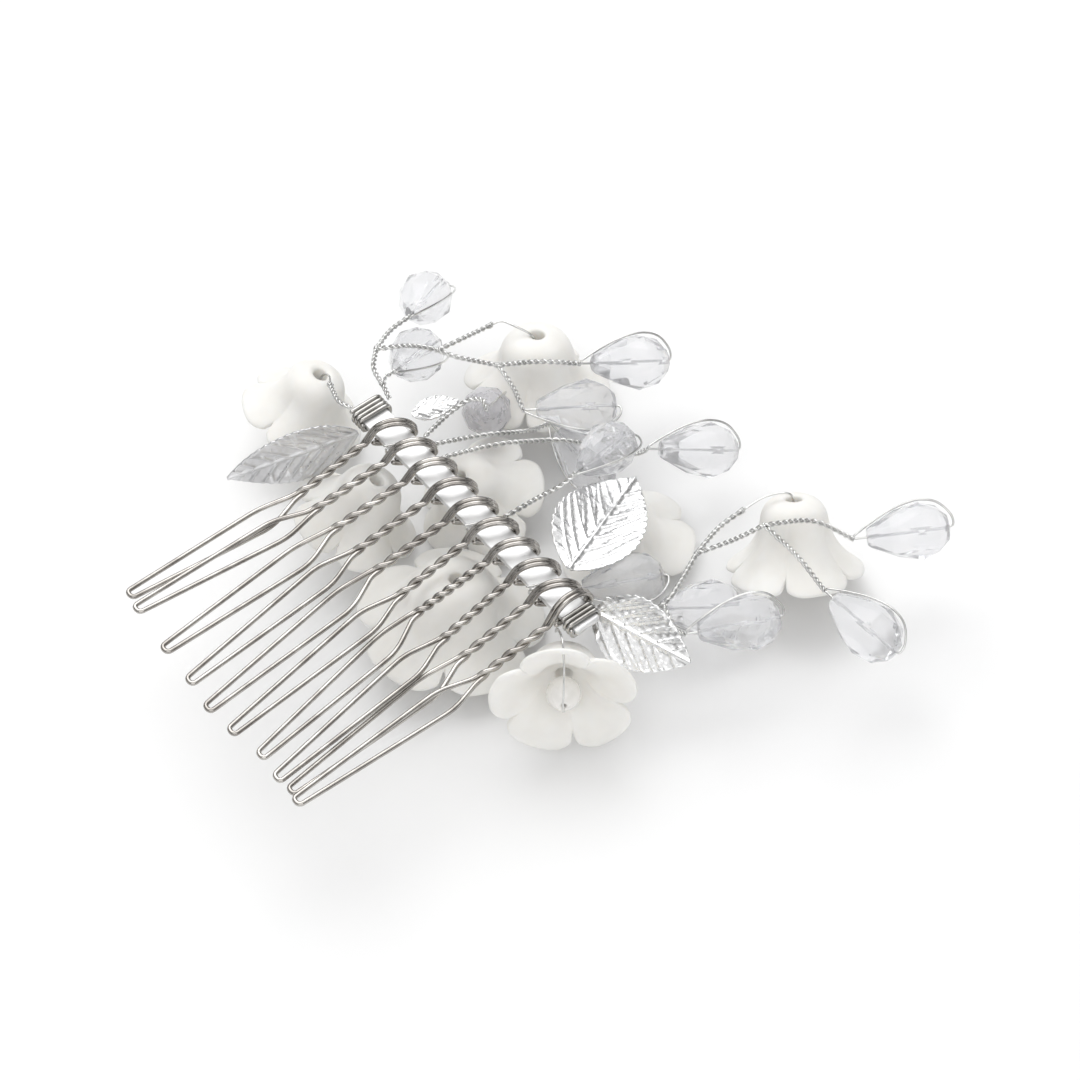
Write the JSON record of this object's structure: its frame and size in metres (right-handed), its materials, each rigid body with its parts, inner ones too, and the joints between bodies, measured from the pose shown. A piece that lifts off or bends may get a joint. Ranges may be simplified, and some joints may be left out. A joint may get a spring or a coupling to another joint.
{
  "type": "decorative hair comb",
  "caption": "Side comb of twisted wire hairpin teeth on a flat bar, trimmed with bell flowers holding pearls, embossed leaves and faceted drop beads on wire stems.",
  "frame": {"origin": "middle of the comb bar's upper face, the side towards the hair", "axes": "+X along the bar towards the longer spray, +Y away from the teeth, +Z out of the back towards the hair; the flowers face -Z"},
  "size_m": [0.0867, 0.0806, 0.0176],
  "materials": {
    "bar_metal": "bright silver plate, flat and softly reflective",
    "tooth_wire": "bright silver plated wire, twisted, a little brownish",
    "winding_wire": "bright silver plated wire",
    "binding_wire": "thin bright silver wire",
    "stem_wire": "thin bright silver wire, two strands twisted",
    "flower_petals": "soft off-white matte, like fine clay or resin",
    "pearl": "off-white pearl with a soft lustre",
    "clear_glass": "clear faceted glass or crystal",
    "frosted_glass": "grey, cloudy and softly shiny",
    "leaf_bright": "bright silver, embossed with veins",
    "leaf_satin": "satin silver grey, embossed with veins"
  },
  "bodies": {
    "comb": {"binding_wire_left": "binding_wire", "binding_wire_middle": "binding_wire", "binding_wire_right": "binding_wire", "comb_bar": "bar_metal", "end_winding_left": "winding_wire", "end_winding_right": "winding_wire", "flower_behind_bar": "flower_petals", "flower_behind_leaf": "flower_petals", "flower_front": "flower_petals", "flower_large": "flower_petals", "flower_left": "flower_petals", "flower_right": "flower_petals", "flower_top": "flower_petals", "flower_under_teeth": "flower_petals", "flower_wire_front": "stem_wire", "flower_wire_left": "stem_wire", "leaf_large": "leaf_bright", "leaf_left": "leaf_satin", "leaf_right": "leaf_bright", "leaf_small": "leaf_bright", "pearl_behind_bar": "pearl", "pearl_behind_leaf": "pearl", "pearl_front": "pearl", "pearl_large": "pearl", "pearl_left": "pearl", "pearl_right": "pearl", "pearl_top": "pearl", "pearl_under_teeth": "pearl", "spray_behind_leaf": "stem_wire", "spray_frosted": "stem_wire", "spray_leaf_side": "stem_wire", "spray_middle": "stem_wire", "spray_right": "stem_wire", "spray_top_left": "stem_wire", "spray_under": "stem_wire", "tooth_01": "tooth_wire", "tooth_02": "tooth_wire", "tooth_03": "tooth_wire", "tooth_04": "tooth_wire", "tooth_05": "tooth_wire", "tooth_06": "tooth_wire", "tooth_07": "tooth_wire", "tooth_08": "tooth_wire", "tooth_09": "tooth_wire", "tooth_10": "tooth_wire"},
    "bead_01_body": {"bead_01": "clear_glass"},
    "bead_02_body": {"bead_02": "clear_glass"},
    "bead_03_body": {"bead_03": "clear_glass"},
    "bead_04_body": {"bead_04": "clear_glass"},
    "bead_05_body": {"bead_05": "clear_glass"},
    "bead_06_body": {"bead_06": "clear_glass"},
    "bead_07_body": {"bead_07": "clear_glass"},
    "bead_08_body": {"bead_08": "clear_glass"},
    "bead_09_body": {"bead_09": "clear_glass"},
    "bead_10_body": {"bead_10": "clear_glass"},
    "bead_11_body": {"bead_11": "clear_glass"},
    "bead_12_body": {"bead_12": "clear_glass"},
    "frosted_bead_body": {"frosted_bead": "frosted_glass"}
  },
  "joints": [
    {"name": "bead_01_spin", "type": "hinge", "parent": "comb", "child": "bead_01_body", "pos_m": [-0.0293, 0.01285, -0.0005], "axis": [-0.5513, 0.6515, -0.5212], "continuous": true},
    {"name": "bead_02_spin", "type": "hinge", "parent": "comb", "child": "bead_02_body", "pos_m": [-0.0235, 0.00655, -0.0005], "axis": [-0.4591, 0.6986, -0.5489], "continuous": true},
    {"name": "bead_03_spin", "type": "hinge", "parent": "comb", "child": "bead_03_body", "pos_m": [-0.0092, 0.02445, -0.0018], "axis": [0.3414, 0.8634, -0.3715], "continuous": true},
    {"name": "bead_04_spin", "type": "hinge", "parent": "comb", "child": "bead_04_body", "pos_m": [-0.0088, 0.01565, -0.0026], "axis": [0.503, 0.8451, -0.1811], "continuous": true},
    {"name": "bead_05_spin", "type": "hinge", "parent": "comb", "child": "bead_05_body", "pos_m": [0.0046, 0.01265, 0.0013], "axis": [-0.2845, 0.8942, -0.3455], "continuous": true},
    {"name": "bead_06_spin", "type": "hinge", "parent": "comb", "child": "bead_06_body", "pos_m": [0.0049, 0.02325, -0.004], "axis": [0.398, 0.8358, -0.3781], "continuous": true},
    {"name": "bead_07_spin", "type": "hinge", "parent": "comb", "child": "bead_07_body", "pos_m": [-0.0084, 0.01775, -0.0083], "axis": [0.9451, 0.0537, -0.3222], "continuous": true},
    {"name": "bead_08_spin", "type": "hinge", "parent": "comb", "child": "bead_08_body", "pos_m": [0.013, 0.00505, -0.0066], "axis": [0.5026, 0.8645, 0], "continuous": true},
    {"name": "bead_09_spin", "type": "hinge", "parent": "comb", "child": "bead_09_body", "pos_m": [0.0212, 0.01005, -0.0068], "axis": [0.5009, 0.8315, -0.2404], "continuous": true},
    {"name": "bead_10_spin", "type": "hinge", "parent": "comb", "child": "bead_10_body", "pos_m": [0.0295, 0.00945, -0.0023], "axis": [0.4115, 0.9034, -0.1205], "continuous": true},
    {"name": "bead_11_spin", "type": "hinge", "parent": "comb", "child": "bead_11_body", "pos_m": [0.0362, 0.02365, -0.0025], "axis": [0.9803, 0.1, -0.1701], "continuous": true},
    {"name": "bead_12_spin", "type": "hinge", "parent": "comb", "child": "bead_12_body", "pos_m": [0.032, 0.03195, -0.0025], "axis": [0.5212, 0.852, -0.0501], "continuous": true},
    {"name": "frosted_bead_spin", "type": "hinge", "parent": "comb", "child": "frosted_bead_body", "pos_m": [-0.0114, 0.01045, -0.0006], "axis": [-0.5401, 0.29, -0.7901], "continuous": true}
  ]
}
